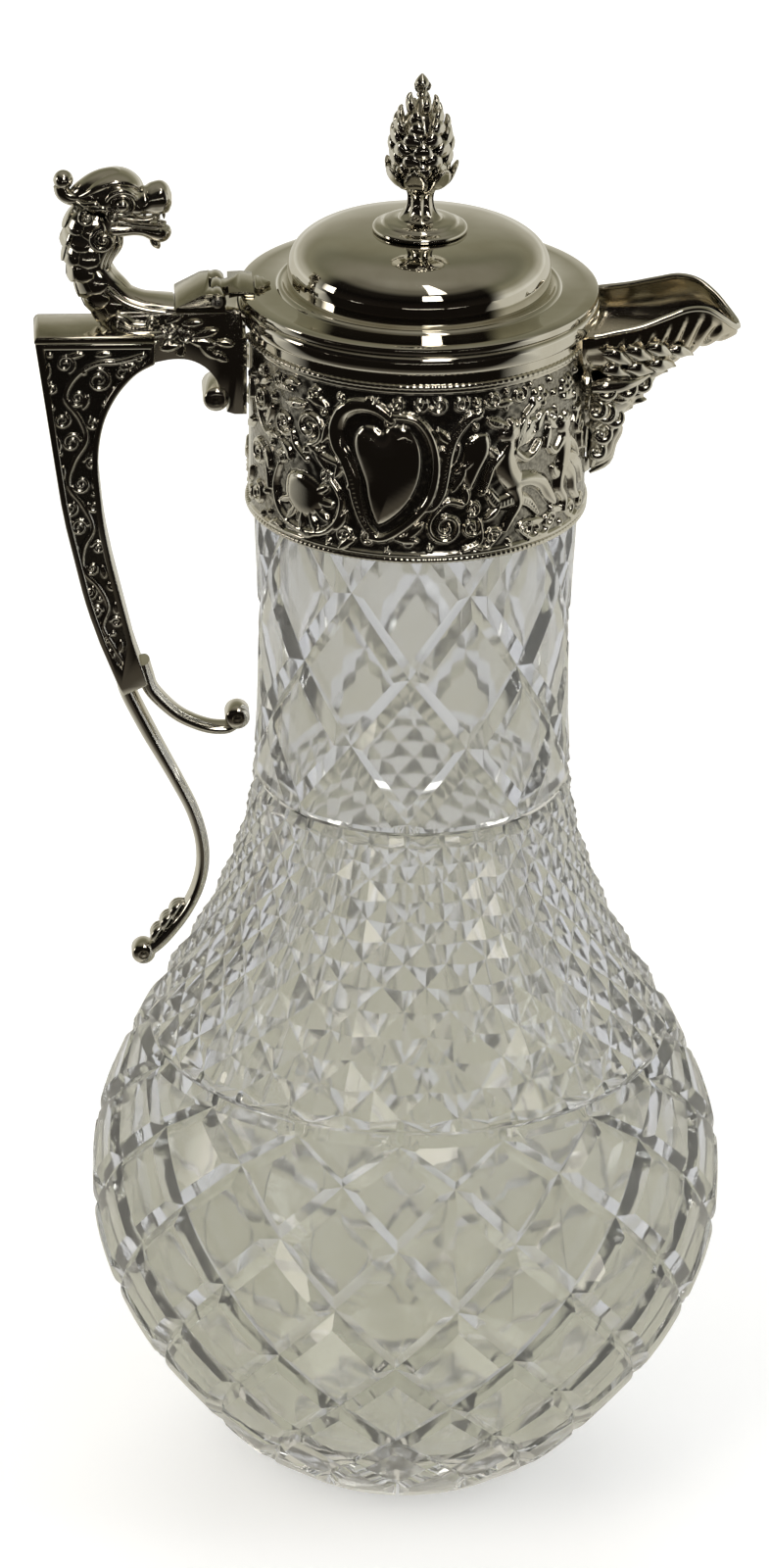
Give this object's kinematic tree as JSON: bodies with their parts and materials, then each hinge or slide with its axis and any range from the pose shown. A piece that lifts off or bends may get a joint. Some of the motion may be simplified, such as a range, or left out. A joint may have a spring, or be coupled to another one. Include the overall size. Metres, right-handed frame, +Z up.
{
  "type": "claret jug",
  "caption": "Bottle-shaped cut-glass jug with an embossed plated collar, open trough spout, square-shouldered handle with a dragon head, and a hinged domed lid with a cone finial.",
  "frame": {"origin": "centre of the flat ground ring that the glass foot stands on", "axes": "+X towards the spout, -X towards the handle, +Z up"},
  "size_m": [0.1347, 0.1238, 0.29],
  "materials": {
    "cut_glass": "clear lead crystal with a faint grey-green tint, cut and polished",
    "plaster": "white plaster, matte",
    "liner_silver": "silver plate, satin",
    "embossed_silver": "embossed silver plate, dark in the hollows",
    "polished_silver": "polished silver plate",
    "lid_silver": "mirror-polished silver plate",
    "spout_silver": "polished silver plate, warm and darker inside",
    "cast_silver": "cast silver plate, dark in the hollows",
    "oxidised_silver": "engraved silver plate on a dark oxidised ground",
    "hinge_steel": "plated hinge pin",
    "nut_brass": "brass screw and nut"
  },
  "bodies": {
    "jug": {"glass_body": "cut_glass", "plaster_bed": "plaster", "neck_sleeve": "liner_silver", "collar_band": "embossed_silver", "foot_bead_ring": "cast_silver", "milled_ring": "polished_silver", "rim_moulding": "polished_silver", "spout_trough": "spout_silver", "spout_edge_wire": "polished_silver", "spout_apron": "cast_silver", "spout_mask": "cast_silver", "mask_beard": "cast_silver", "handle_grip": "cast_silver", "handle_panel_near": "oxidised_silver", "handle_panel_far": "oxidised_silver", "handle_shoulder_plate": "cast_silver", "handle_bracket": "cast_silver", "bracket_leaves": "cast_silver", "bracket_knob": "polished_silver", "inner_branch": "cast_silver", "inner_branch_knob": "polished_silver", "lower_leg": "cast_silver", "foot_leaf": "cast_silver", "foot_knob_ball": "polished_silver", "dragon_neck": "cast_silver", "dragon_skull": "cast_silver", "dragon_jaw": "cast_silver", "dragon_tongue": "oxidised_silver", "dragon_crest": "cast_silver", "dragon_eyes": "oxidised_silver", "dragon_cheeks": "cast_silver", "hinge_fixed_leaf": "polished_silver", "hinge_pin": "hinge_steel"},
    "lid": {"hinge_lid_leaf": "polished_silver", "hinge_leaf_end": "polished_silver", "lid_flange": "lid_silver", "lid_dome": "lid_silver", "lid_bezel": "polished_silver", "finial_disc": "polished_silver", "finial_stem": "cast_silver", "finial_calyx": "cast_silver", "pine_cone": "cast_silver", "finial_bud": "cast_silver", "finial_nut": "nut_brass"}
  },
  "joints": [
    {"name": "lid_hinge", "type": "hinge", "parent": "jug", "child": "lid", "pos_m": [-0.0383, 0, 0.2473], "axis": [0, -1, 0], "range_deg": [0, 78]}
  ]
}
